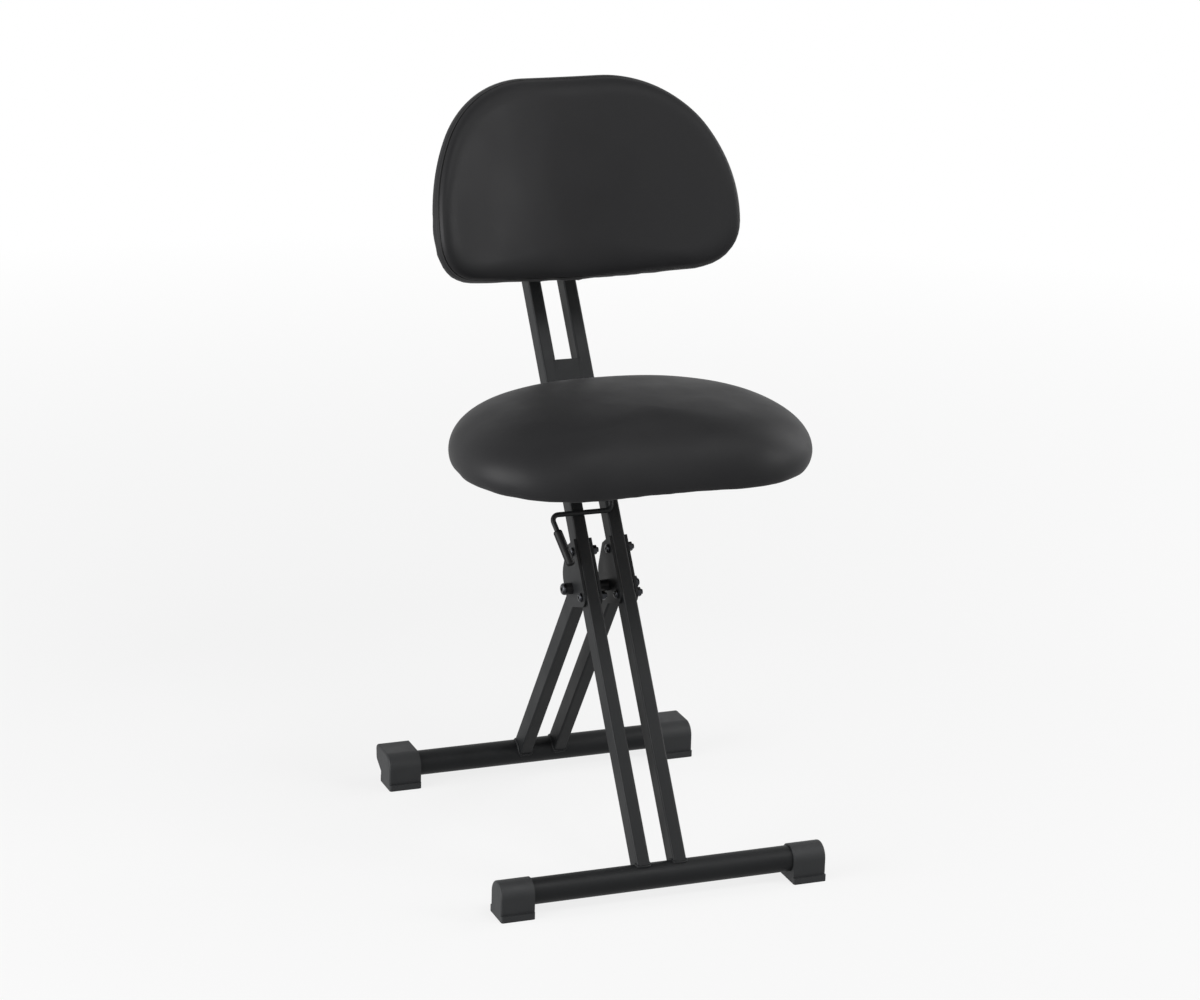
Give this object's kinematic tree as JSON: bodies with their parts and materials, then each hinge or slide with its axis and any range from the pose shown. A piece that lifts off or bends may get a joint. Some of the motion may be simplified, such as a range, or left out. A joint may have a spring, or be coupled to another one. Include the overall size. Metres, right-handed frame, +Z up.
{
  "type": "drum throne",
  "caption": "Folding drum throne with a padded seat on a sliding carriage, a curved padded backrest on twin leaning tubes, and folding rear legs.",
  "frame": {"origin": "on the floor, under the middle of the open throne's bounding box", "axes": "+Z up, the sitter faces -Y, X along the floor bars with the lever on the -X side"},
  "size_m": [0.4124, 0.486, 0.8726],
  "materials": {
    "powder_coat": "satin",
    "lever_coat": "satin",
    "cap_rubber": "matte",
    "black_plastic": "satin",
    "zinc": "satin",
    "upholstery": "satin",
    "plywood": "matte"
  },
  "bodies": {
    "frame": {"front_crossbar": "powder_coat", "front_foot_cap_left": "cap_rubber", "front_foot_cap_right": "cap_rubber", "spine_tube_left": "powder_coat", "spine_tube_right": "powder_coat", "spine_cross_plate": "powder_coat", "spine_plug_left": "black_plastic", "spine_plug_right": "black_plastic", "bracket_plate_left_outer": "powder_coat", "bracket_plate_left_inner": "powder_coat", "bracket_plate_right_inner": "powder_coat", "bracket_plate_right_outer": "powder_coat", "bracket_screws": "zinc", "bracket_washers": "zinc", "bracket_nuts": "zinc", "pivot_screw": "zinc", "pivot_nut": "zinc", "pivot_sleeve": "black_plastic", "pivot_spacer_left": "black_plastic", "pivot_spacer_right": "black_plastic", "backrest_cheek_left": "powder_coat", "backrest_cheek_right": "powder_coat", "backrest_bolts": "zinc", "backrest_nuts": "zinc", "backrest_plate": "powder_coat", "backrest_packer": "plywood", "backrest_screws": "zinc", "backrest_shell": "plywood", "backrest_cushion": "upholstery"},
    "rear_legs": {"rear_crossbar": "powder_coat", "rear_foot_cap_left": "cap_rubber", "rear_foot_cap_right": "cap_rubber", "rear_leg_left": "powder_coat", "rear_leg_right": "powder_coat", "leg_bush_left": "black_plastic", "leg_bush_right": "black_plastic"},
    "seat_carriage": {"slider_block": "black_plastic", "slider_front_plate": "powder_coat", "slider_rear_plate": "powder_coat", "slider_screws": "zinc", "slider_nuts": "zinc", "lock_eye_bolt": "zinc", "lock_nut": "zinc", "seat_arm_left": "powder_coat", "seat_arm_right": "powder_coat", "seat_plate": "powder_coat", "seat_screws": "zinc", "seat_tee_nuts": "zinc", "seat_board": "plywood", "seat_cushion": "upholstery"},
    "lock_lever": {"lever_rod": "lever_coat", "lever_grip": "black_plastic", "lock_cam_left": "zinc", "lock_cam_right": "zinc"}
  },
  "joints": [
    {"name": "leg_fold", "type": "hinge", "parent": "frame", "child": "rear_legs", "pos_m": [0, -0.00465, 0.29836], "axis": [-1, 0, 0], "range_deg": [0, 64]},
    {"name": "seat_height", "type": "slide", "parent": "frame", "child": "seat_carriage", "axis": [0, 0.565, 0.8251], "range_m": [-0.058, 0.049]},
    {"name": "lock_turn", "type": "hinge", "parent": "seat_carriage", "child": "lock_lever", "pos_m": [0, 0.01841, 0.42408], "axis": [-1, 0, 0], "range_deg": [0, 45]}
  ]
}
